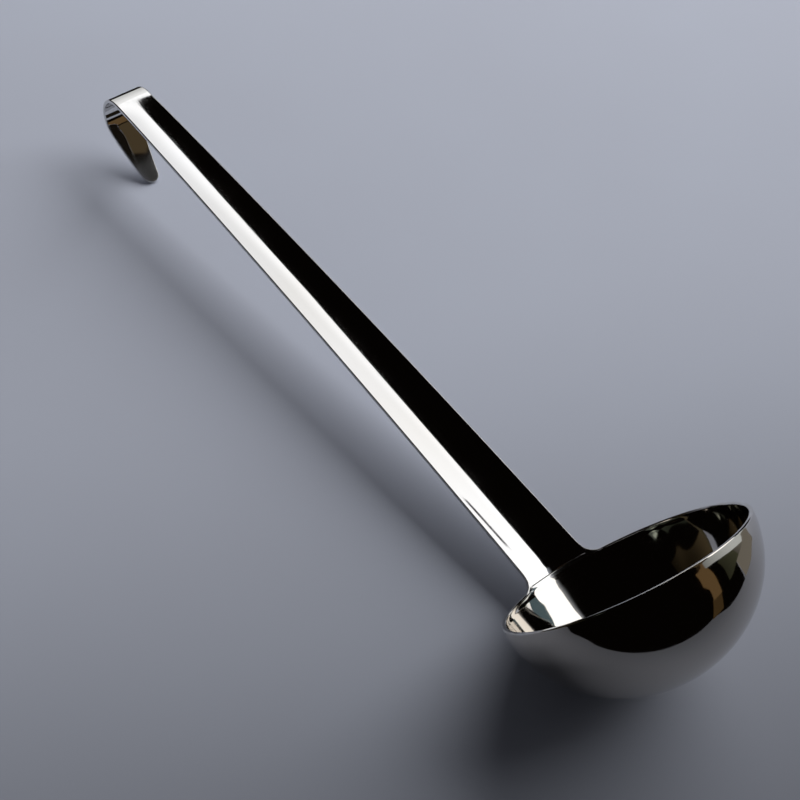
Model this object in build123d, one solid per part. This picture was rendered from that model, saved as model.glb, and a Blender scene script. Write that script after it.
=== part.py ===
from build123d import *
import os
from math import cos, degrees, radians, sin, sqrt

# Soup ladle of polished stainless sheet, in millimetres and degrees.
# It lies the way it is put down on a table: the underside of the bowl and the end of the hook
# touch Z = 0, +X runs from the bowl to the hook, and both sides of the plane Y = 0 are alike.
# The shapes are first built round the axis of the bowl, with the rim at height zero, the opening
# upward and the handle toward +X, and are turned into the lying position at the end.

# Sheet that the bowl and the handle are pressed from
sheet_thickness = 1.5

# Bowl, outside sizes
rim_radius = 45.0
bowl_depth = 42.0
upright_height = 0.8
lip_round = 0.5

# Blade of the handle: widths at both ends, and how far each end leans out from the bowl's axis
foot_width = 25.0
neck_width = 15.7
blade_length = 272.0
foot_lean = 31.0
neck_lean = 36.0

# Hook: a tight bend, then a tapered leg that curls in a little
hook_inside_radius = 10.0
hook_turn = 131.0
leg_length = 28.5
leg_turn = 24.0
tip_width = 6.0

# Butt weld between the rim and the foot of the handle, dressed into a hollow corner at each side
seam_height = 0.8
corner_radius = 5.0

# How far a cutting or trimmed shape runs past what it cuts
overrun = 3.0

# Fineness of the search for the lying position
finest_angle = 1e-9

# Places up the blade where its section is set, as shares of its length
section_shares = (0.15, 0.35, 0.55, 0.75, 0.9, 1)

# How much of half the tip's width its corners are rounded by
tip_round_share = 0.93

half_sheet = sheet_thickness / 2


def along(lean):
    """Direction along the handle where it leans this far from the bowl's axis."""
    return Vector(sin(radians(lean)), 0, cos(radians(lean)))


def front(lean):
    """Direction out of the front of the handle, the side that the bowl opens on."""
    return Vector(-cos(radians(lean)), 0, sin(radians(lean)))


# The bowl is a round shell: an oval of revolution under a short upright wall
outer_fall = bowl_depth - upright_height
inner_fall = outer_fall - sheet_thickness
inner_radius = rim_radius - sheet_thickness


def quarter_oval(radius, fall):
    """Exact quarter of an oval, from the bowl's lowest point up to the foot of its wall."""
    bottom = -upright_height - fall
    corners = [(0, bottom), (radius, bottom), (radius, -upright_height)]
    return Bezier(*corners, weights=[1, cos(radians(45)), 1])


def make_bowl():
    """Shell of even sheet, with both edges of the lip rounded."""
    outer_curve = quarter_oval(rim_radius, outer_fall)
    inner_curve = quarter_oval(inner_radius, inner_fall)
    outline = [
        outer_curve,
        Line(outer_curve @ 1, (rim_radius, 0)),
        Line((rim_radius, 0), (inner_radius, 0)),
        Line((inner_radius, 0), inner_curve @ 1),
        inner_curve,
        Line(inner_curve @ 0, outer_curve @ 0),
    ]
    section = Plane.XZ * make_face(Curve() + outline)
    shell = revolve(section, Axis.Z)
    lip_edges = shell.edges().filter_by(GeomType.CIRCLE).filter_by_position(Axis.Z, 0, 0)
    return fillet(lip_edges, lip_round)


# The blade follows a large arc in the plane Y = 0, through the middle of the sheet
bow_radius = blade_length / radians(neck_lean - foot_lean)
foot_point = Vector(rim_radius - half_sheet, 0, 0)
bow_centre = foot_point - front(foot_lean) * bow_radius
neck_point = bow_centre + front(neck_lean) * bow_radius

# At the foot the blade is hollow to the curve of the rim, and it is flat by the neck
channel_radius = rim_radius / cos(radians(foot_lean))


def blade_section(share):
    """Section square to the blade, at this share of its length."""
    lean = foot_lean + share * (neck_lean - foot_lean)
    half_width = (foot_width + share * (neck_width - foot_width)) / 2
    rise = (channel_radius - sqrt(channel_radius**2 - half_width**2)) * (1 - max(share, 0))
    corners = [(-half_width, rise + half_sheet), (half_width, rise + half_sheet)]
    corners += [(half_width, rise - half_sheet), (-half_width, rise - half_sheet)]
    if rise > 0:
        front_edge = ThreePointArc(corners[0], (0, half_sheet), corners[1])
        back_edge = ThreePointArc(corners[2], (0, -half_sheet), corners[3])
    else:
        front_edge = Line(corners[0], corners[1])
        back_edge = Line(corners[2], corners[3])
    outline = [front_edge, Line(corners[1], corners[2]), back_edge, Line(corners[3], corners[0])]
    origin = bow_centre + front(lean) * bow_radius
    return Plane(origin, x_dir=(0, 1, 0), z_dir=along(lean)) * make_face(Curve() + outline)


def make_blade():
    """Tapered channel, cut level at the weld."""
    shares = (-overrun / blade_length, *section_shares)
    blade = loft([blade_section(share) for share in shares])
    return split(blade, Plane.XY.offset(seam_height), keep=Keep.TOP)


# The hook turns toward the back of the blade
bend_radius = hook_inside_radius + half_sheet
bend_centre = neck_point - front(neck_lean) * bend_radius
leg_lean = neck_lean + hook_turn
leg_root = bend_centre + front(leg_lean) * bend_radius
leg_radius = leg_length / radians(leg_turn)
leg_centre = leg_root - front(leg_lean) * leg_radius
leg_chord = 2 * leg_radius * sin(radians(leg_turn) / 2)
chord_lean = leg_lean + leg_turn / 2


def turned_strip(start, lean, width, centre, turn):
    """Flat strip of this width, bent from its start round an axis across the ladle."""
    section = Plane(start, x_dir=(0, 1, 0), z_dir=along(lean)) * Rectangle(width, sheet_thickness)
    return revolve(section, Axis(tuple(centre), (0, 1, 0)), turn)


def leg_outline():
    """Flat outline of the leg along its chord: a short straight root, a taper and a round tip."""
    root = neck_width / 2
    tip = tip_width / 2
    right_side = [(-overrun, -root), (half_sheet, -root), (leg_chord, -tip)]
    left_side = [(leg_chord, tip), (half_sheet, root), (-overrun, root)]
    outline = make_face(Polyline(right_side + left_side, close=True))
    return fillet(outline.vertices().group_by(Axis.X)[-1], tip * tip_round_share)


def make_hook():
    """Bend of constant width, and the leg cut to its outline from a wider strip."""
    bend = turned_strip(neck_point, neck_lean, neck_width, bend_centre, hook_turn)
    past_tip = degrees(overrun / leg_radius)
    wide_strip = neck_width + 2 * overrun
    leg = turned_strip(leg_root, leg_lean, wide_strip, leg_centre, leg_turn + past_tip)
    chord_plane = Plane(leg_root, x_dir=along(chord_lean), z_dir=front(chord_lean))
    leg &= extrude(chord_plane * leg_outline(), leg_chord / 2, both=True)
    return bend + leg


def make_weld(bowl, handle):
    """Weld metal on the lip: a thin band under the foot and a hollow corner at each side."""
    ring = Circle(rim_radius) - Circle(inner_radius)
    band = extrude(Pos(0, 0, -lip_round) * ring, lip_round)
    slope_length = (corner_radius + seam_height) / cos(radians(foot_lean))
    slope = extrude(ring, slope_length, dir=along(foot_lean))
    reach = foot_width / 2 + corner_radius
    outline = Pos(0, (corner_radius - lip_round) / 2) * Rectangle(2 * reach, corner_radius + lip_round)
    for side in (-1, 1):
        outline -= Pos(side * reach, corner_radius) * Circle(corner_radius)
    weld_zone = extrude(Plane.YZ * outline, 2 * rim_radius)
    return ((band + slope) & weld_zone) - bowl - handle


def resting_slope():
    """How far below the bowl's cross direction the table lies, where bowl and tip both touch it.

    The tip touches with the outer corner of its end, and the bowl with the oval below its wall.
    """
    outside_radius = leg_radius + half_sheet
    tip_rise = sqrt(outside_radius**2 - (leg_chord / 2) ** 2) - leg_radius * cos(radians(leg_turn / 2))
    tip = leg_root + along(chord_lean) * leg_chord + front(chord_lean) * tip_rise
    too_steep, too_flat = 90.0, 0.0
    while too_steep - too_flat > finest_angle:
        slope = (too_steep + too_flat) / 2
        across, down = cos(radians(slope)), sin(radians(slope))
        oval_reach = sqrt((rim_radius * across) ** 2 + (outer_fall * down) ** 2)
        bowl_reach = oval_reach + upright_height * down
        if bowl_reach > tip.X * across - tip.Z * down:
            too_steep = slope
        else:
            too_flat = slope
    return slope, bowl_reach


bowl = make_bowl()
handle = make_blade() + make_hook()
weld_seam = make_weld(bowl, handle)

slope, bowl_reach = resting_slope()
lying = Pos(0, 0, bowl_reach) * Rotation(0, 90 - slope, 0)
pieces = {"bowl": lying * bowl, "handle": lying * handle, "weld_seam": lying * weld_seam}
near_end = pieces["bowl"].bounding_box().min.X
far_end = pieces["handle"].bounding_box().max.X
centring = Pos(-(near_end + far_end) / 2, 0, 0)

os.makedirs("parts", exist_ok=True)
for name, piece in pieces.items():
    export_step(centring * piece, f"parts/{name}.step")
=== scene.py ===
import math

import bmesh
import bpy
from mathutils import Euler, Matrix, Vector


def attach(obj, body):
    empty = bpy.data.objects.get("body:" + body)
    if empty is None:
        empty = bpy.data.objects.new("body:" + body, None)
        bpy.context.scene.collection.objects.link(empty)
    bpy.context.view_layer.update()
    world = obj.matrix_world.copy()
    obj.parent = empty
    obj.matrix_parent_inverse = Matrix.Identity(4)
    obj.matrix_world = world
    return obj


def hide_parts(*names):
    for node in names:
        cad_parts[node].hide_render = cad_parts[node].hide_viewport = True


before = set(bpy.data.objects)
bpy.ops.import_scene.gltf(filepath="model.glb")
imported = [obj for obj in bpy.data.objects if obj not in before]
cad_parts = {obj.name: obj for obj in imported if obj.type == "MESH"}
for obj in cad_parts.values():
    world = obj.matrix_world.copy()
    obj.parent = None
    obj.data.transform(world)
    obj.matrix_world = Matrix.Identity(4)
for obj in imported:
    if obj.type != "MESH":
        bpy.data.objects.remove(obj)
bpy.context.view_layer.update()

# Metres and the frame of the CAD model. Pieces are modelled in millimetres round the bowl's axis,
# rim at height zero and handle towards +X, and are laid down on the table at the end.
ladlePose = {
    "tilt": 50.915994,  # degrees from standing upright to lying
    "rimCentre": (-0.133614, 0.0, 0.044034),
    "mm": 0.001,
}
sheet = 1.5  # thickness of the pressed steel
tolerance = 0.001  # millimetres: points nearer than this are one
sharpAngle = 50.0  # edges that turn by more than this stay sharp


def layDown():
    place = Matrix.Translation(ladlePose["rimCentre"])
    tilt = Matrix.Rotation(math.radians(ladlePose["tilt"]), 4, "Y")
    return place @ tilt @ Matrix.Scale(ladlePose["mm"], 4)


footBlend = {  # the rim and the handle run into each other in one soft bend
    "reach": 6.0,  # above and below the rim
    "slope": 0.6009,  # of the handle over the bowl's wall
    "fullWidth": 9.0,  # to each side of the middle, and it runs out at endWidth
    "endWidth": 21.0,
}


def smoothShare(value, low, high):
    share = min(max((value - low) / (high - low), 0.0), 1.0)
    return share * share * (3 - 2 * share)


def footBlendAt(across):
    return 1 - smoothShare(abs(across), footBlend["fullWidth"], footBlend["endWidth"])


def softenFoot(bm):
    for vert in bm.verts:
        if vert.co.x > 0:
            nearness = max(0.0, 1 - abs(vert.co.z) / footBlend["reach"])
            bend = footBlend["slope"] * footBlend["reach"] / 4 * nearness**2
            vert.co.x += bend * footBlendAt(vert.co.y)


def markSurface(bm, layOf, edgeOf, scuffOf=lambda co: 0.0):
    # where the tool marks run, in millimetres, how near a worn edge each point is, and how
    # scuffed it is
    lay = bm.verts.layers.float_vector.new("lay")
    edge = bm.verts.layers.float.new("edge")
    scuff = bm.verts.layers.float.new("scuff")
    for vert in bm.verts:
        vert[lay] = layOf(vert.co)
        vert[edge] = min(max(edgeOf(vert.co), 0.0), 1.0)
        vert[scuff] = scuffOf(vert.co)


def linkMesh(bm, name, material):
    mesh = bpy.data.meshes.new(name)
    bm.to_mesh(mesh)
    bm.free()
    mesh.materials.append(material)
    linked = bpy.data.objects.new(name, mesh)
    bpy.context.scene.collection.objects.link(linked)
    return linked


def linkPiece(bm, name, material, node):
    # moves the finished mesh into the lying position, so the object itself stays at the origin
    softenFoot(bm)
    bmesh.ops.transform(bm, matrix=layDown(), verts=bm.verts)
    bmesh.ops.recalc_face_normals(bm, faces=bm.faces)
    piece = linkMesh(bm, name, material)
    piece.data.shade_smooth()
    piece.data.set_sharp_from_angle(angle=math.radians(sharpAngle))
    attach(piece, "root")
    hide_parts(node)
    print(name, len(piece.data.polygons), "faces")


# Camera

cameraLook = {
    "place": (-0.35834, 0.29263, 0.52939),
    "turns": (41.2610, -2.3657, -127.7830),  # degrees round X, Y and Z
    "lens": 83.25,
    "sensor": 36.0,
    "nearest": 0.01,
    "farthest": 50.0,
}


def makeCamera():
    data = bpy.data.cameras.new("photoCamera")
    data.lens = cameraLook["lens"]
    data.sensor_width = cameraLook["sensor"]
    data.clip_start = cameraLook["nearest"]
    data.clip_end = cameraLook["farthest"]
    camera = bpy.data.objects.new("photoCamera", data)
    turns = Euler([math.radians(turn) for turn in cameraLook["turns"]])
    camera.matrix_world = Matrix.LocRotScale(Vector(cameraLook["place"]), turns, None)
    bpy.context.scene.collection.objects.link(camera)
    bpy.context.scene.camera = camera
    print("camera placed")


makeCamera()


# Polished steel

noiseRoughness = 0.55  # how much of its finer detail each noise keeps


def addNode(tree, kind, inputs=None, **settings):
    node = tree.nodes.new(kind)
    for key, value in settings.items():
        setattr(node, key, value)
    for key, value in (inputs or {}).items():
        if isinstance(value, bpy.types.NodeSocket):
            tree.links.new(value, node.inputs[key])
        else:
            node.inputs[key].default_value = value
    return node


def noiseAt(tree, vector, scale, low, high, detail):
    # noise stretched by its own scale along each axis, then spread out between 0 and 1
    placed = addNode(tree, "ShaderNodeMapping", {"Vector": vector, "Scale": scale})
    noise = addNode(tree, "ShaderNodeTexNoise", {
        "Vector": placed.outputs["Vector"], "Scale": 1.0, "Detail": detail,
        "Roughness": noiseRoughness,
    })
    spread = addNode(tree, "ShaderNodeMapRange", {
        "Value": noise.outputs["Fac"], "From Min": low, "From Max": high,
    })
    return spread.outputs["Result"]


def addUp(tree, start, parts):
    total = start
    for share, value in parts:
        step = addNode(
            tree, "ShaderNodeMath", {0: value, 1: share, 2: total}, operation="MULTIPLY_ADD",
        )
        total = step.outputs["Value"]
    return total


def multiplied(tree, first, second):
    step = addNode(tree, "ShaderNodeMath", {0: first, 1: second}, operation="MULTIPLY")
    return step.outputs["Value"]


def twoTones(tree, share, first, second):
    ramp = addNode(tree, "ShaderNodeValToRGB", {"Fac": share})
    ramp.color_ramp.elements[0].color = (*first, 1.0)
    ramp.color_ramp.elements[1].color = (*second, 1.0)
    return ramp.outputs["Color"]


handleLook = {
    "warmTone": (0.610, 0.598, 0.580),
    "coolTone": (0.640, 0.640, 0.645),
    "wornTone": (0.70, 0.70, 0.70),
    "roughness": 0.024,
    "streakScale": (0.012, 1.1, 0.3),  # per millimetre: long along the handle, fine across it
    "streakHaze": 0.015,
    "hairlineScale": (0.05, 5.5, 1.0),
    "hairlineHaze": 0.03,
    "markDepth": 0.0000003,  # of the streaks, in metres
    "hairlineDepth": 0.8,  # of the depth of the streaks
    "smudgeScale": 45.0,  # per metre, like the scales below
    "smudgeHaze": 0.02,
    "nickScale": 260.0,
    "wearHaze": 0.1,
    "scuffHaze": 0.15,
    "patchScale": 14.0,
    "waveScale": 22.0,
    "waveDepth": 0.00003,
}
bowlLook = dict(
    handleLook, streakScale=(0.02, 0.5, 0.02), hairlineScale=(0.15, 2.6, 0.15),
    streakHaze=0.02, hairlineHaze=0.03, roughness=0.04, waveDepth=0.00004,
    # the bowl's tones are warmer and darker than the handle's: partly the steel's own tone, and
    # partly a painted warm shade, the colour of the shaded floor that the bowl reflects
    warmTone=(0.600, 0.562, 0.512), coolTone=(0.615, 0.588, 0.552),
)
weldLook = dict(
    handleLook, streakScale=(0.5, 0.5, 0.5), hairlineScale=(1.4, 0.4, 1.4), streakHaze=0.05,
    hairlineHaze=0.05, roughness=0.07, warmTone=(0.60, 0.585, 0.565), markDepth=0.000002,
)


steelNoise = {  # of each noise: where it starts to show, where it is full, and its detail
    "streaks": (0.35, 0.7, 3.0),
    "hairlines": (0.60, 0.72, 2.0),
    "smudges": (0.42, 0.72, 4.0),
    "patches": (0.3, 0.7, 2.0),
    "nicks": (0.45, 0.65, 3.0),
    "waves": (0.0, 1.0, 1.0),
}


def polishedSteel(name, look):
    material = bpy.data.materials.new(name)
    material.use_nodes = True
    tree = material.node_tree
    shader = tree.nodes["Principled BSDF"]
    shader.inputs["Metallic"].default_value = 1.0
    lay = addNode(tree, "ShaderNodeAttribute", attribute_name="lay").outputs["Vector"]
    edge = addNode(tree, "ShaderNodeAttribute", attribute_name="edge").outputs["Fac"]
    scuff = addNode(tree, "ShaderNodeAttribute", attribute_name="scuff").outputs["Fac"]
    place = addNode(tree, "ShaderNodeTexCoord").outputs["Object"]

    streaks = noiseAt(tree, lay, look["streakScale"], *steelNoise["streaks"])
    hairlines = noiseAt(tree, lay, look["hairlineScale"], *steelNoise["hairlines"])
    smudges = noiseAt(tree, place, (look["smudgeScale"],) * 3, *steelNoise["smudges"])
    patches = noiseAt(tree, place, (look["patchScale"],) * 3, *steelNoise["patches"])
    nicks = noiseAt(tree, place, (look["nickScale"],) * 3, *steelNoise["nicks"])
    waves = noiseAt(tree, place, (look["waveScale"],) * 3, *steelNoise["waves"])
    wear = multiplied(tree, edge, nicks)

    haze = addUp(tree, look["roughness"], (
        (look["streakHaze"], streaks), (look["hairlineHaze"], hairlines),
        (look["smudgeHaze"], smudges), (look["wearHaze"], wear), (look["scuffHaze"], scuff),
    ))
    tint = twoTones(tree, patches, look["warmTone"], look["coolTone"])
    worn = addNode(tree, "ShaderNodeMixRGB", {
        "Fac": wear, "Color1": tint, "Color2": (*look["wornTone"], 1.0),
    })
    swell = addNode(tree, "ShaderNodeBump", {"Height": waves, "Distance": look["waveDepth"]})
    marks = addNode(tree, "ShaderNodeBump", {
        "Height": addUp(tree, 0.0, ((1.0, streaks), (look["hairlineDepth"], hairlines))),
        "Distance": look["markDepth"], "Normal": swell.outputs["Normal"],
    })
    tree.links.new(worn.outputs["Color"], shader.inputs["Base Color"])
    tree.links.new(haze, shader.inputs["Roughness"])
    tree.links.new(marks.outputs["Normal"], shader.inputs["Normal"])
    return material


bowlSteel = polishedSteel("bowlSteel", bowlLook)
handleSteel = polishedSteel("handleSteel", handleLook)
weldSteel = polishedSteel("weldSteel", weldLook)


# Bowl

bowlShape = {
    "rimRadius": 45.0,
    "depth": 42.0,
    "wall": 0.8,  # short upright wall under the rim
    "band": 2.6,  # depth of the band that is pressed straight under the rim, on the outside
    "bandEnd": 9.0,  # where the outside is back on the oval
    "flare": 1.4,  # how far the inside is drawn out toward the rim, round the handle
    "flareDepths": (12.0, 36.0),  # where it is fullest, and where it ends
    "flareTurns": (57.0, 76.0),  # degrees round from the handle where it starts to fade, and ends
    "insideReach": 0.3,  # points nearer than this to the inner oval are on the inside
    "lipRound": 0.5,
    "lipWear": 0.9,  # how far down from the rim its polish is worn
    "arcSteps": 72,
    "turnSteps": 224,
    "lipSteps": 6,
}


def connectedVerts(start):
    found = [start]
    for vert in found:  # the list grows while it is walked
        for edge in vert.link_edges:
            other = edge.other_vert(vert)
            if other not in found:
                found.append(other)
    return found


def quarterOval(bm, radius, fall, steps):
    # a quarter circle spun from the lowest point, then scaled to the oval
    lowest = bm.verts.new((0.0, 0.0, -1.0))
    spun = bmesh.ops.spin(
        bm, geom=[lowest], cent=(0, 0, 0), axis=(0, 1, 0), angle=math.radians(-90),
        steps=steps, use_duplicate=False,
    )
    highest = next(item for item in spun["geom_last"] if isinstance(item, bmesh.types.BMVert))
    arc = connectedVerts(lowest)
    bmesh.ops.scale(bm, vec=(radius, 1.0, fall), verts=arc)
    bmesh.ops.translate(bm, vec=(0, 0, -bowlShape["wall"]), verts=arc)
    return lowest, highest


def pressBand(arc, radius, fall):
    # straightens the wall under the rim, then runs into the oval without a crease
    band, end = bowlShape["band"], bowlShape["bandEnd"]
    share = (end - bowlShape["wall"]) / fall
    width = math.sqrt(1 - share**2)
    length = end - band
    missing = radius * (1 - width) / length
    slope = radius * share / fall / width
    for vert in arc:
        if -vert.co.z < end:
            run = max(0.0, (-vert.co.z - band) / length)
            drop = (3 * missing - slope) * run**2 + (slope - 2 * missing) * run**3
            vert.co.x = radius - length * drop


def flareInside(bm):
    # thickens the sheet a little below the rim, so that the inside leans out toward it
    radius = bowlShape["rimRadius"] - sheet
    fall = bowlShape["depth"] - bowlShape["wall"] - sheet
    start, end = bowlShape["flareDepths"]
    for vert in bm.verts:
        depth = -vert.co.z
        if not bowlShape["wall"] < depth < end:
            continue
        inside = radius * math.sqrt(1 - ((depth - bowlShape["wall"]) / fall) ** 2)
        reach = vert.co.xy.length
        if abs(reach - inside) < bowlShape["insideReach"]:
            turn = abs(math.degrees(math.atan2(vert.co.y, vert.co.x)))
            share = 1 - smoothShare(turn, *bowlShape["flareTurns"])
            if depth < start:
                share *= math.sin(math.pi / 2 * depth / start)
            else:
                share *= 1 - smoothShare(depth, start, end)
            vert.co.xy *= 1 - bowlShape["flare"] * share / reach


def makeBowl():
    bm = bmesh.new()
    outerFall = bowlShape["depth"] - bowlShape["wall"]
    lines = []
    for radius, fall in (
        (bowlShape["rimRadius"], outerFall),
        (bowlShape["rimRadius"] - sheet, outerFall - sheet),
    ):
        lowest, highest = quarterOval(bm, radius, fall, bowlShape["arcSteps"])
        if not lines:
            pressBand(connectedVerts(lowest), radius, fall)
        lip = bmesh.ops.extrude_vert_indiv(bm, verts=[highest])["verts"][0]
        lip.co.z = 0.0
        lines.append(lip)
    bm.edges.new(lines)
    bmesh.ops.spin(
        bm, geom=bm.verts[:] + bm.edges[:], cent=(0, 0, 0), axis=(0, 0, 1),
        angle=math.radians(360), steps=bowlShape["turnSteps"], use_merge=True,
        use_duplicate=False,
    )
    bmesh.ops.remove_doubles(bm, verts=bm.verts, dist=tolerance)
    bmesh.ops.recalc_face_normals(bm, faces=bm.faces)  # the bevel goes by them
    rims = []  # the edges that run round the lip, and not the ones across it
    for edge in bm.edges:
        start, end = (vert.co for vert in edge.verts)
        level = max(abs(start.z), abs(end.z)) < tolerance
        if level and abs(start.xy.length - end.xy.length) < tolerance:
            rims.append(edge)
    bmesh.ops.bevel(
        bm, geom=rims, offset=bowlShape["lipRound"], offset_type="OFFSET",
        segments=bowlShape["lipSteps"], profile=0.5, affect="EDGES", material=-1,
    )
    flareInside(bm)
    # the polishing wheel went round the bowl, so the marks change only slowly along each ring
    radius = bowlShape["rimRadius"]
    markSurface(
        bm, lambda co: (co.x, radius * math.atan2(co.xy.length, -co.z), co.y),
        lambda co: 1 + co.z / bowlShape["lipWear"],
    )
    linkPiece(bm, "bowl_shell", bowlSteel, "bowl")


makeBowl()


# Handle: a flat bar with rounded edges, tapered at the tip, then bent onto its path

handleShape = {
    "footWidth": 25.0,
    "neckWidth": 15.7,
    "bladeLength": 272.0,
    "footLean": 31.0,
    "neckLean": 36.0,
    "bendInside": 10.0,
    "bendTurn": 131.0,
    "legLength": 28.5,
    "legTurn": 24.0,
    "tipWidth": 6.0,
    "tipRound": 2.79,  # radius of the tip's corners
    "neckHollow": 0.35,  # what is left of the hollow where the blade ends
    "hollowEnd": (258.0, 274.0),
    "legHollow": 0.25,  # the leg is a little hollow again
    "legHollowRun": 7.0,  # and gets so over this much of its root
    "scuffRun": (11.0, 22.0),  # the rail scuffs the leg's end, from here to here along it
    "edgeRound": 0.4,
    "edgeWear": 0.8,
    "footCut": 0.8,  # height over the rim where the weld begins
    "weldCorner": 5.0,  # radius of the weld's hollow corner at each side of the foot
    "seamWidth": 0.22,  # of each side of the groove where handle and weld meet
    "seamDepth": 0.12,
    "overrun": 3.0,  # how far the bar goes on below the rim, where it is cut off again
    "overrunRows": 3,
    "footRun": 2.6,  # close rows for the seam's groove, up to here
    "footRows": 22,
    "bladeRows": 160,
    "bendRows": 52,
    "legRows": 44,
    "leastRow": 0.01,  # a row nearer than this to the one before is left out
    "edgeColumns": 4,
    "holdColumn": 1.2,  # one more column holds the edge's rounding, this many roundings in
    "middleColumns": 22,
    "squeezeFrom": 3,  # a bar narrower than this many edge columns squeezes them
    "flatRise": 0.000001,  # a hollow that rises less than this is flat
    "cutTolerance": 0.0001,
}


def frontOfLean(lean):
    # out of the front of the handle, where it leans this far from the bowl's axis
    return Vector((-math.cos(math.radians(lean)), 0.0, math.sin(math.radians(lean))))


def handlePath():
    # each stretch: start, length, first lean, turn, centre and radius at the middle of the sheet
    shape = handleShape
    bowRadius = shape["bladeLength"] / math.radians(shape["neckLean"] - shape["footLean"])
    foot = Vector((bowlShape["rimRadius"] - sheet / 2, 0.0, 0.0))
    bowCentre = foot - frontOfLean(shape["footLean"]) * bowRadius
    neck = bowCentre + frontOfLean(shape["neckLean"]) * bowRadius
    bendRadius = shape["bendInside"] + sheet / 2
    bendCentre = neck - frontOfLean(shape["neckLean"]) * bendRadius
    bendLength = bendRadius * math.radians(shape["bendTurn"])
    legLean = shape["neckLean"] + shape["bendTurn"]
    legRadius = shape["legLength"] / math.radians(shape["legTurn"])
    legCentre = bendCentre + frontOfLean(legLean) * (bendRadius - legRadius)
    bladeTurn = shape["neckLean"] - shape["footLean"]
    legStart = shape["bladeLength"] + bendLength
    return [
        (0.0, shape["bladeLength"], shape["footLean"], bladeTurn, bowCentre, bowRadius),
        (
            shape["bladeLength"], bendLength, shape["neckLean"], shape["bendTurn"], bendCentre,
            bendRadius,
        ),
        (legStart, shape["legLength"], legLean, shape["legTurn"], legCentre, legRadius),
    ]


def halfWidthAt(run, path):
    shape = handleShape
    legStart, legLength = path[2][0], path[2][1]
    if run <= shape["bladeLength"]:
        share = run / shape["bladeLength"]
        return (shape["footWidth"] + share * (shape["neckWidth"] - shape["footWidth"])) / 2
    if run <= legStart + sheet / 2:
        return shape["neckWidth"] / 2
    taperRun = run - legStart - sheet / 2
    taper = taperRun / (legLength - sheet / 2)
    half = (shape["neckWidth"] + taper * (shape["tipWidth"] - shape["neckWidth"])) / 2
    left = legStart + legLength - run  # still to go to the end of the tip
    if left < shape["tipRound"]:
        rounding = shape["tipRound"]
        half -= rounding - math.sqrt(max(rounding**2 - (rounding - left) ** 2, 0.0))
    return half


def hollowAt(run, across, path):
    # how far the face stands in front of its middle line, from the rim's curve at the foot to flat
    shape = handleShape
    if run > path[2][0]:
        half, widest = halfWidthAt(run, path), shape["neckWidth"] / 2
        start = smoothShare(run, path[2][0], path[2][0] + shape["legHollowRun"])
        return shape["legHollow"] * start * (min(abs(across), half) / widest) ** 2
    share = min(max(run / shape["bladeLength"], 0.0), 1.0)
    channel = bowlShape["rimRadius"] / math.cos(math.radians(shape["footLean"]))
    half = halfWidthAt(min(run, shape["bladeLength"]), path)
    rise = (channel - math.sqrt(channel**2 - half**2)) * (1 - share)
    rise += shape["neckHollow"] * share * (1 - smoothShare(run, *shape["hollowEnd"]))
    if rise < shape["flatRise"]:
        return 0.0
    radius = (half**2 + rise**2) / (2 * rise)
    return radius - math.sqrt(max(radius**2 - min(abs(across), half) ** 2, 0.0))


def bentPoint(point, path):
    run, across, out = point
    stretch = path[0]
    for candidate in path:
        if run >= candidate[0]:
            stretch = candidate
    start, length, lean, turn, centre, radius = stretch
    reached = lean + turn * (run - start) / length
    place = centre + frontOfLean(reached) * (radius + hollowAt(run, across, path) + out)
    place.y = across
    return place


def handleRuns(path):
    shape = handleShape
    below, belowRows = shape["overrun"], shape["overrunRows"]
    runs = [-below + below * i / belowRows for i in range(belowRows)]
    runs += [shape["footRun"] * i / shape["footRows"] for i in range(shape["footRows"])]
    rowCounts = (shape["bladeRows"], shape["bendRows"], shape["legRows"])
    for (start, length, *_), rows in zip(path, rowCounts):
        for i in range(rows):
            share = i / rows
            if start == path[2][0]:
                share = math.sin(share * math.pi / 2)  # rows crowd together round the tip
            if start + length * share > runs[-1] + shape["leastRow"]:
                runs.append(start + length * share)
    return runs + [path[2][0] + path[2][1]]


def fromOutline(across, height, half):
    # distance from the outline of handle and weld together, with the weld's hollow corners
    corner = handleShape["weldCorner"]
    if height >= corner:
        return half - abs(across)
    return math.hypot(max(half + corner - abs(across), 0.0), corner - height) - corner


def halfThickness(inset):
    rounding = handleShape["edgeRound"]
    inset = min(max(inset, 0.0), rounding)
    return sheet / 2 - rounding + math.sqrt(rounding**2 - (rounding - inset) ** 2)


def columnInsets():
    # distances from the edge of the bar: a quarter round, and one more line that holds it
    shape = handleShape
    steps = shape["edgeColumns"]
    turns = [math.pi / 2 * i / steps for i in range(steps + 1)]
    insets = [shape["edgeRound"] * (1 - math.cos(turn)) for turn in turns]
    return insets + [shape["edgeRound"] * shape["holdColumn"]]


def acrossAt(column, lastColumn, half, insets):
    mirrored = lastColumn - column
    nearest = min(column, mirrored)
    side = -1 if column < mirrored else 1
    squeeze = min(1.0, half / (handleShape["squeezeFrom"] * insets[-1]))
    if nearest < len(insets):
        return side * (half - insets[nearest] * squeeze)
    inner = half - insets[-1] * squeeze
    share = (column - len(insets) + 1) / handleShape["middleColumns"]
    return inner * (2 * share - 1)


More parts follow.
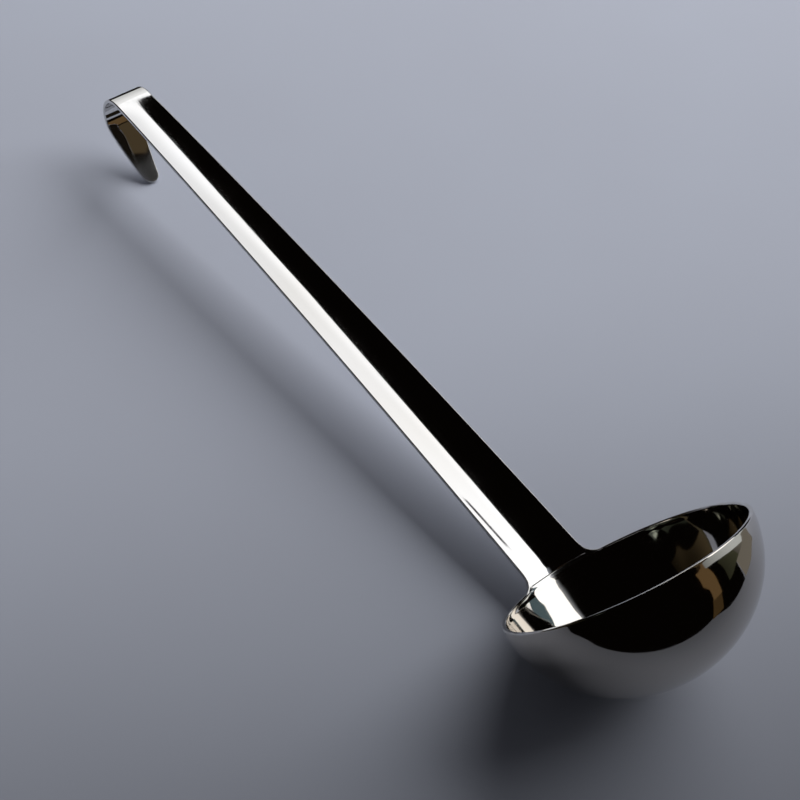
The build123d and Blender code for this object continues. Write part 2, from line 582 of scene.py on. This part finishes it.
def makeHandle():
    shape = handleShape
    path = handlePath()
    runs = handleRuns(path)
    insets = columnInsets()
    lastRow, lastColumn = len(runs) - 1, 2 * len(insets) + shape["middleColumns"] - 2
    bm = bmesh.new()
    bmesh.ops.create_grid(bm, x_segments=lastRow, y_segments=lastColumn, size=1.0)
    for vert in bm.verts:
        run = runs[round((vert.co.x + 1) / 2 * lastRow)]
        column = round((vert.co.y + 1) / 2 * lastColumn)
        vert.co = (run, acrossAt(column, lastColumn, halfWidthAt(run, path), insets), 0.0)
    back = bmesh.ops.extrude_face_region(bm, geom=bm.faces[:])
    backVerts = {item for item in back["geom"] if isinstance(item, bmesh.types.BMVert)}
    rise = math.cos(math.radians(shape["footLean"]))

    def insetAt(co):
        sideways = fromOutline(co.y, co.x * rise, halfWidthAt(co.x, path))
        return min(sideways, runs[-1] - co.x)

    for vert in bm.verts:
        thick = halfThickness(insetAt(vert.co))
        vert.co.z = -thick if vert in backVerts else thick
    markSurface(
        bm, lambda co: co, lambda co: 1 - insetAt(co) / shape["edgeWear"],
        lambda co: smoothShare(co.x - path[2][0], *shape["scuffRun"]),
    )
    for vert in bm.verts:
        vert.co = bentPoint(vert.co, path)
    cut = bmesh.ops.bisect_plane(
        bm, geom=bm.verts[:] + bm.edges[:] + bm.faces[:], dist=shape["cutTolerance"],
        plane_co=(0, 0, shape["footCut"]), plane_no=(0, 0, 1), clear_inner=True,
    )
    outward = frontOfLean(shape["footLean"])
    layer = bm.verts.layers.float_vector["lay"]
    for vert in bm.verts:
        groove = 1 - smoothShare(vert.co.z - shape["footCut"], 0.0, shape["seamWidth"])
        side = 1 if vert[layer].z > 0 else -1
        vert.co -= outward * side * shape["seamDepth"] * groove
    footEdges = [item for item in cut["geom_cut"] if isinstance(item, bmesh.types.BMEdge)]
    bmesh.ops.holes_fill(bm, edges=footEdges, sides=0)
    linkPiece(bm, "handle_strip", handleSteel, "handle")


makeHandle()


# Weld

weldShape = {
    "bottom": -0.5,  # height over the rim
    "middleColumns": 36,
    "cornerColumns": 18,
    "lowRows": 8,
    "highRows": 10,
    "crowding": 1.6,  # the low rows crowd together toward the seam
    "grooveFade": 1.0,  # the seam's groove runs out over this much at each end
    "kinkHalf": 0.35,  # half the height of the bend between wall and handle, past the foot's blend
    "wear": 0.3,  # the same all over
}


def weldPoint(across, height, deep):
    radius = bowlShape["rimRadius"] - sheet + deep
    soft = max(weldShape["kinkHalf"] * (1 - footBlendAt(across)), tolerance)
    slope = math.tan(math.radians(handleShape["footLean"]))
    if height <= -soft:
        lean = 0.0
    elif height >= soft:
        lean = height * slope
    else:
        lean = slope * (height + soft) ** 2 / (4 * soft)
    return Vector((math.sqrt(radius**2 - across**2) + lean, across, height))


def weldColumns():
    # each column: its place across, the height of its low rows and the height of its top
    shape = weldShape
    radius = handleShape["weldCorner"]
    half = handleShape["footWidth"] / 2
    bottom, top = shape["bottom"], handleShape["footCut"]
    lowShare = (top - bottom) / (radius - bottom)
    corner = []
    for i in range(shape["cornerColumns"] + 1):
        turn = math.pi / 2 * i / shape["cornerColumns"]
        high = radius - radius * math.cos(turn)
        low = bottom + (high - bottom) * lowShare
        corner.append((half + radius - radius * math.sin(turn), low, high))
    steps = shape["middleColumns"]
    middle = [(half - 2 * half * i / steps, top, top) for i in range(1, steps)]
    return corner + middle + [(-across, low, high) for across, low, high in reversed(corner)]


def makeWeld():
    shape = weldShape
    bottom, top = shape["bottom"], handleShape["footCut"]
    columns = weldColumns()
    lastColumn, lastRow = len(columns) - 1, shape["lowRows"] + shape["highRows"]
    bm = bmesh.new()
    bmesh.ops.create_grid(bm, x_segments=lastColumn, y_segments=lastRow, size=1.0)
    middle = []
    for face in bm.faces:
        column = (face.calc_center_median().x + 1) / 2 * lastColumn
        row = (face.calc_center_median().y + 1) / 2 * lastRow
        inMiddle = shape["cornerColumns"] < column < lastColumn - shape["cornerColumns"]
        if inMiddle and row > shape["lowRows"]:
            middle.append(face)
    bmesh.ops.delete(bm, geom=middle, context="FACES")
    for vert in bm.verts:
        across, low, high = columns[round((vert.co.x + 1) / 2 * lastColumn)]
        row = round((vert.co.y + 1) / 2 * lastRow)
        if row <= shape["lowRows"]:
            share = 1 - (1 - row / shape["lowRows"]) ** shape["crowding"]
            height = bottom + (low - bottom) * share
        else:
            height = low + (high - low) * (row - shape["lowRows"]) / shape["highRows"]
        vert.co = Vector((across, height, 0.0))
    back = bmesh.ops.extrude_face_region(bm, geom=bm.faces[:])
    backVerts = [item for item in back["geom"] if isinstance(item, bmesh.types.BMVert)]
    bmesh.ops.translate(bm, vec=(0, 0, sheet), verts=backVerts)
    half = handleShape["footWidth"] / 2
    for vert in bm.verts:
        across, height, deep = vert.co
        thick = halfThickness(fromOutline(across, height, half))
        groove = smoothShare(height, top - handleShape["seamWidth"], top)
        groove *= 1 - smoothShare(abs(across), half - shape["grooveFade"], half)
        thick -= handleShape["seamDepth"] * groove
        vert.co.z = sheet / 2 + (thick if deep > sheet / 2 else -thick)
    markSurface(bm, lambda co: co, lambda co: shape["wear"])
    for vert in bm.verts:
        vert.co = weldPoint(*vert.co)
    linkPiece(bm, "weld_bead", weldSteel, "weld_seam")


makeWeld()


# Floor

floorLook = {
    "size": 8.0,
    "colour": (0.410, 0.435, 0.505),
    "cloudColour": (0.395, 0.415, 0.480),
    "cloudScale": 5.0,
    "cloudNoise": (0.3, 0.7, 3.0),
    "roughness": 0.6,
    # painted light falloff: the colour is darker toward the bowl, painted in where the window light
    # falls off; a direction, then (distance along it, share of the colour) twice
    "dim": ((1.0, -0.40, 0.0), (-0.32, 0.40), (0.05, 1.20)),
    # painted light falloff too: the colour changes a little slantwise over all of the floor
    "falloffSlant": ((0.50, 0.28, 0.0), (-0.35, 0.67), (0.35, 1.34)),  # and by a little over all of it
    "farColour": (0.40, 0.415, 0.465),  # far from the ladle it shines like a lit backdrop
    "farFrom": 0.34,
    "farFull": 1.1,
}


def seenRay(tree):
    # 1 for what the camera, a reflection or glass sees, and 0 for the light that reaches the ladle
    path = addNode(tree, "ShaderNodeLightPath")
    seen = path.outputs["Is Camera Ray"]
    for ray in ("Is Glossy Ray", "Is Transmission Ray"):
        step = addNode(tree, "ShaderNodeMath", {0: seen, 1: path.outputs[ray]}, operation="MAXIMUM")
        seen = step.outputs["Value"]
    return seen


def slopeAlong(tree, place, look, interpolation):
    # a share that changes evenly or smoothly along a direction over the floor
    direction, (lowPlace, lowShare), (highPlace, highShare) = look
    along = addNode(tree, "ShaderNodeVectorMath", {0: place, 1: direction}, operation="DOT_PRODUCT")
    spread = addNode(tree, "ShaderNodeMapRange", {
        "Value": along.outputs["Value"], "From Min": lowPlace, "From Max": highPlace,
        "To Min": lowShare, "To Max": highShare,
    }, interpolation_type=interpolation)
    return spread.outputs["Result"]


def makeFloor():
    bm = bmesh.new()
    bmesh.ops.create_grid(bm, x_segments=2, y_segments=2, size=floorLook["size"])
    material = bpy.data.materials.new("paleFloor")
    material.use_nodes = True
    tree = material.node_tree
    shader = tree.nodes["Principled BSDF"]
    place = addNode(tree, "ShaderNodeTexCoord").outputs["Object"]
    clouds = noiseAt(tree, place, (floorLook["cloudScale"],) * 3, *floorLook["cloudNoise"])
    tint = twoTones(tree, clouds, floorLook["cloudColour"], floorLook["colour"])
    # painted light falloff: the floor's colour is darkened where the window light falls off
    dim = slopeAlong(tree, place, floorLook["dim"], "SMOOTHSTEP")
    falloffSlant = slopeAlong(tree, place, floorLook["falloffSlant"], "LINEAR")
    paintedFalloffColour = addNode(tree, "ShaderNodeVectorMath", {
        0: tint, "Scale": multiplied(tree, dim, falloffSlant),
    }, operation="SCALE")
    tree.links.new(paintedFalloffColour.outputs["Vector"], shader.inputs["Base Color"])
    shader.inputs["Roughness"].default_value = floorLook["roughness"]
    shader.inputs["Specular IOR Level"].default_value = 0.0  # or it would mirror the cards
    away = addNode(tree, "ShaderNodeVectorMath", {0: place}, operation="LENGTH")
    far = addNode(tree, "ShaderNodeMapRange", {
        "Value": away.outputs["Value"], "From Min": floorLook["farFrom"],
        "From Max": floorLook["farFull"],
    }, interpolation_type="SMOOTHSTEP")
    glow = addNode(tree, "ShaderNodeEmission", {"Color": (*floorLook["farColour"], 1.0)})
    both = addNode(tree, "ShaderNodeMixShader", {
        0: multiplied(tree, far.outputs["Result"], seenRay(tree)),
        1: shader.outputs["BSDF"], 2: glow.outputs["Emission"],
    })
    tree.links.new(both.outputs["Shader"], tree.nodes["Material Output"].inputs["Surface"])
    floor = linkMesh(bm, "floor", material)
    print("floor made")


makeFloor()


# Studio: one big soft window light. The steel sees it, and the dark room round it, as cards that
# show in reflections only.

def glowMaterial(name, colour):
    material = bpy.data.materials.new(name)
    material.use_nodes = True
    tree = material.node_tree
    tree.nodes.remove(tree.nodes["Principled BSDF"])
    strength = addNode(tree, "ShaderNodeAttribute", attribute_name="glow").outputs["Fac"]
    glow = addNode(tree, "ShaderNodeEmission", {"Color": (*colour, 1.0), "Strength": strength})
    tree.links.new(glow.outputs["Emission"], tree.nodes["Material Output"].inputs["Surface"])
    return material


def linkCard(bm, name, colour, glowOf=lambda co: 1.0):
    glow = bm.verts.layers.float.new("glow")
    for vert in bm.verts:
        vert[glow] = glowOf(vert.co)
    card = linkMesh(bm, name, glowMaterial(name, colour))
    card.data.shade_smooth()
    card.visible_camera = False
    card.visible_diffuse = False
    card.visible_shadow = False
    card.visible_transmission = False


def valueAt(line, turn):
    # value at this turn round the ladle, on a line through (turn, value) corners
    for (turnA, valueA), (turnB, valueB) in zip(line, line[1:]):
        if turnA <= turn <= turnB:
            return valueA + (valueB - valueA) * (turn - turnA) / (turnB - turnA)
    return line[0][1] if turn < line[0][0] else line[-1][1]


cardGrid = {"degrees": 0.5, "rows": 24}


def curvedCard(name, look):
    # a sheet that stands in an arc round the ladle, cut to its lower and upper edges; below its
    # upper edge it may get dimmer, or brighter where dim is under 0
    first, last = look["top"][0][0], look["top"][-1][0]
    steps = round((last - first) / cardGrid["degrees"])
    dimLine, fade = look.get("dim", ((0, 0),)), look.get("fade", 1.0)
    bm = bmesh.new()
    bmesh.ops.create_grid(bm, x_segments=steps, y_segments=cardGrid["rows"], size=1.0)
    for vert in bm.verts:
        turn = first + (last - first) * (vert.co.x + 1) / 2
        low, high = valueAt(look["bottom"], turn), valueAt(look["top"], turn)
        height = low + (high - low) * (vert.co.y + 1) / 2
        angle = math.radians(turn)
        vert.co = (look["radius"] * math.cos(angle), look["radius"] * math.sin(angle), height)

    def glowOf(co):
        turn = math.degrees(math.atan2(co.y, co.x))
        under = smoothShare(valueAt(look["top"], turn) - co.z, 0.0, fade)
        return valueAt(look["glow"], turn) * (1 - valueAt(dimLine, turn) * under)

    linkCard(bm, name, look["colour"], glowOf)


# A card's radius is how far off it stands. Its edges, glow and dimming are lines through
# (turn, value) corners: turns in degrees round the ladle from +X, and heights in metres.
cards = {
    "leftWindow": {
        "radius": 1.6, "colour": (1.0, 1.0, 1.0), "glow": ((0, 2.0),),
        "top": (
            (-131.0, 1.60), (-125.0, 1.72), (-121.0, 1.80), (-114.0, 1.98), (-108.5, 2.15),
            (-97.0, 2.40),
        ),
        "bottom": (
            (-131.0, 1.215), (-123.4, 1.10), (-113.7, 0.957), (-106.8, 0.927), (-97.0, 0.762),
        ),
    },
    "leftWindowHaze": {  # a soft upper edge
        "radius": 1.615, "colour": (0.90, 0.95, 1.05), "glow": ((-131.0, 0.01), (-97.0, 0.02)),
        "dim": ((0, -22.0),), "fade": 0.4,
        "top": ((-131.0, 1.95), (-125.0, 2.15), (-121.0, 2.25), (-108.5, 2.57), (-97.0, 2.75)),
        "bottom": ((-131.0, 1.5), (-97.0, 1.6)),
    },
    "tealWall": {
        "radius": 1.605, "colour": (0.090, 0.137, 0.160), "glow": ((0, 1.0),),
        "top": ((-113.4, 0.96), (-97.0, 0.80)),
        "bottom": ((-113.4, 0.83), (-107.6, 0.59), (-101.9, 0.43), (-97.0, 0.40)),
    },
    "litSill": {
        "radius": 1.607, "colour": (1.0, 1.0, 1.0), "glow": ((-124.0, 1.0), (-97.0, 1.3)),
        "top": ((-124.0, 1.12), (-97.0, 0.80)),
        "bottom": ((-124.0, 1.0), (-119.0, 0.78), (-113.0, 0.60), (-107.0, 0.42), (-97.0, 0.29)),
    },
    "leftSill": {
        "radius": 1.61, "colour": (0.95, 1.0, 1.00),
        "glow": ((-152.0, 0.20), (-142.0, 0.38), (-132.0, 0.50), (-122.0, 0.62), (-97.0, 0.62)),
        "top": ((-150.0, 1.0), (-143.0, 1.05), (-132.0, 1.22), (-120.0, 1.25), (-97.0, 0.9)),
        "bottom": (
            (-150.0, 0.87), (-141.8, 0.76), (-132.5, 0.556), (-123.0, 0.31), (-113.5, 0.043),
            (-97.0, 0.0),
        ),
    },
    "rightWindow": {
        "radius": 1.6, "colour": (1.0, 1.0, 1.0), "fade": 0.42,
        "glow": ((-97.0, 1.95), (-75.0, 1.75), (-60.0, 1.62), (-28.0, 1.60)),
        "dim": (
            (-97.0, 0.0), (-75.0, 0.06), (-65.0, 0.10), (-55.0, 0.15), (-45.0, 0.23),
            (-28.0, 0.25),
        ),
        "top": (
            (-97.0, 2.45), (-75.3, 2.410), (-66.3, 2.387), (-57.6, 2.293), (-49.1, 2.155),
            (-45.1, 2.070), (-38.5, 1.840), (-32.3, 1.627), (-29.5, 1.518), (-29.1, 1.50),
            (-28.3, 1.455), (-27.5, 1.42),
        ),
        "bottom": ((-97.0, 0.80), (-27.5, 0.75)),
    },
    "windowSide": {
        "radius": 1.61, "colour": (1.0, 1.0, 0.99), "glow": ((0, 1.25),), "dim": ((0, 0.4),),
        "fade": 1.3,
        "top": ((-29.5, 1.44), (-27.5, 1.42), (-25.5, 1.33), (-17.0, 1.25)),
        "bottom": ((-29.5, 0.0), (-17.0, 0.0)),
    },
    "windowBar": {
        "radius": 1.58, "colour": (0.10, 0.09, 0.10), "glow": ((0, 1.0),),
        "top": ((-75.6, 1.56), (-71.2, 1.55)),
        "bottom": ((-75.6, 1.475), (-71.2, 1.475)),
    },
    "brownCurtain": {
        "radius": 2.0, "colour": (0.13, 0.08, 0.035), "glow": ((0, 1.0),),
        "top": ((-160.2, 1.25), (-148.1, 1.25)),
        "bottom": ((-160.2, 0.5), (-156.2, 0.35), (-156.0, 0.0), (-148.1, 0.0)),
    },
    "brownWall": {
        "radius": 1.95, "colour": (0.078, 0.056, 0.030), "glow": ((0, 1.0),),
        "top": ((-156.0, 2.55), (-136.0, 2.64)),
        "bottom": ((-156.0, 1.27), (-136.0, 1.27)),
    },
    "greenCurtain": {
        "radius": 2.2, "colour": (0.034, 0.035, 0.021), "glow": ((-139.0, 0.7), (-124.0, 1.5)),
        "top": ((-139.0, 0.85), (-122.7, 0.85)),
        "bottom": ((-139.0, 0.0), (-122.7, 0.0)),
    },
    "greyWall": {
        "radius": 2.2, "colour": (0.14, 0.13, 0.11), "glow": ((-122.7, 0.6), (-110.0, 1.3)),
        "top": ((-122.7, 0.85), (-97.0, 0.5)),
        "bottom": ((-122.7, 0.0), (-97.0, 0.0)),
    },
    "farPatch": {
        "radius": 1.6, "colour": (0.078, 0.088, 0.078), "glow": ((0, 1.0),),
        "top": ((97.0, 0.95), (107.0, 0.95)),
        "bottom": ((97.0, 0.62), (107.0, 0.66)),
    },
    "farCore": {
        "radius": 1.59, "colour": (0.42, 0.46, 0.39),
        "glow": ((96.5, 0.4), (98.0, 1.0), (100.5, 0.3)),
        "top": ((96.5, 0.89), (100.5, 0.90)),
        "bottom": ((96.5, 0.76), (100.5, 0.77)),
    },
    "farFaint": {
        "radius": 1.6, "colour": (0.026, 0.030, 0.022), "glow": ((90.0, 0.7), (97.0, 1.2)),
        "top": ((90.0, 0.55), (97.0, 0.62)),
        "bottom": ((90.0, 0.0), (97.0, 0.0)),
    },
    "doorway": {
        "radius": 1.8, "colour": (0.055, 0.041, 0.022), "glow": ((0, 0.15),), "dim": ((0, -5.7),),
        "top": ((64.0, 1.0), (84.0, 1.0)),
        "bottom": ((64.0, 0.0), (84.0, 0.0)),
    },
}
roomLook = {
    "radius": 3.2,
    "colour": (0.0016, 0.0011, 0.0008),
    "slices": 48,
    "rings": 24,
    "groundHeight": 0.0002,  # of the lowest ground, and the next ones lie over it
    "groundStep": 0.0001,
}
grounds = {  # what lies round the lit part of the floor, for the steel to see
    "pastTheBoard": ((0.0016, 0.0011, 0.0008), (
        (1.29, 3.2), (-0.33, -0.03), (-0.37, -0.09), (-0.31, -0.12), (-0.28, -0.19),
        (-1.85, -2.49), (-3.2, -2.0), (-3.2, 3.2),
    )),
    "brownGround": ((0.055, 0.034, 0.014), (
        (-0.355, -0.08), (-0.365, -0.13), (-2.2, -1.37), (-2.4, -1.07),
    )),
    "leftGround": ((0.18, 0.165, 0.14), (
        (-0.19, -0.22), (-0.28, -0.20), (-1.85, -2.49), (-0.5, -3.0),
    )),
    "sideGround": ((0.05, 0.042, 0.025), (
        (-0.13, 0.22), (0.30, 0.22), (3.2, 0.6), (3.2, 3.2), (-0.13, 3.2),
    )),
    # a dark sheet lying on the lit floor, seen only by the steel: painted shade in the floor's
    # reflection, out to the far side
    "farShadeSheet": ((0.010, 0.008, 0.006), (
        (0.20, -0.02), (0.10, -0.05), (0.05, -0.12), (0.03, -0.30), (0.10, -3.0), (3.0, -3.0),
        (3.0, -0.10),
    )),
    # a dark sheet under the hook, seen only by the steel: painted shade in the floor's reflection
    # under the hook
    "hookShadeSheet": ((0.014, 0.011, 0.008), (
        (0.075, -0.004), (0.075, -0.065), (0.115, -0.075), (0.142, -0.05), (0.136, -0.004),
    )),
}


def makeRoom():
    bm = bmesh.new()
    bmesh.ops.create_uvsphere(
        bm, u_segments=roomLook["slices"], v_segments=roomLook["rings"], radius=roomLook["radius"],
    )
    bmesh.ops.reverse_faces(bm, faces=bm.faces)
    linkCard(bm, "darkRoom", roomLook["colour"])
    for step, (name, (colour, corners)) in enumerate(grounds.items()):
        bm = bmesh.new()
        height = roomLook["groundHeight"] + roomLook["groundStep"] * step
        bm.faces.new([bm.verts.new((x, y, height)) for x, y in corners])
        linkCard(bm, name, colour)
    for name, look in cards.items():
        curvedCard(name, look)
    print("room made", len(cards), "cards")


makeRoom()


# Light

lampLook = {
    "turn": -84.0,
    "distance": 1.1,
    "height": 0.82,
    "width": 1.9,
    "tall": 1.3,
    "radiance": 3.43,
}
skyLook = {"background": (0.78, 0.78, 0.80), "ambient": (0.075, 0.075, 0.081)}


def makeLamps():
    data = bpy.data.lights.new("windowLight", "AREA")
    data.shape = "RECTANGLE"
    data.size = lampLook["width"]
    data.size_y = lampLook["tall"]
    data.energy = lampLook["radiance"] * math.pi * lampLook["width"] * lampLook["tall"]
    lamp = bpy.data.objects.new("windowLight", data)
    angle = math.radians(lampLook["turn"])
    distance = lampLook["distance"]
    lamp.location = (distance * math.cos(angle), distance * math.sin(angle), lampLook["height"])
    lamp.rotation_mode = "QUATERNION"
    lamp.rotation_quaternion = (-lamp.location).to_track_quat("-Z", "Y")
    lamp.visible_glossy = False
    lamp.visible_camera = False
    bpy.context.scene.collection.objects.link(lamp)

    world = bpy.data.worlds.new("room")
    world.use_nodes = True
    tree = world.node_tree
    shown = addNode(tree, "ShaderNodeMixRGB", {
        "Fac": seenRay(tree), "Color1": (*skyLook["ambient"], 1.0),
        "Color2": (*skyLook["background"], 1.0),
    })
    tree.links.new(shown.outputs["Color"], tree.nodes["Background"].inputs["Color"])
    bpy.context.scene.world = world
    print("lamps made")


makeLamps()

bpy.context.scene.view_settings.view_transform = "Standard"
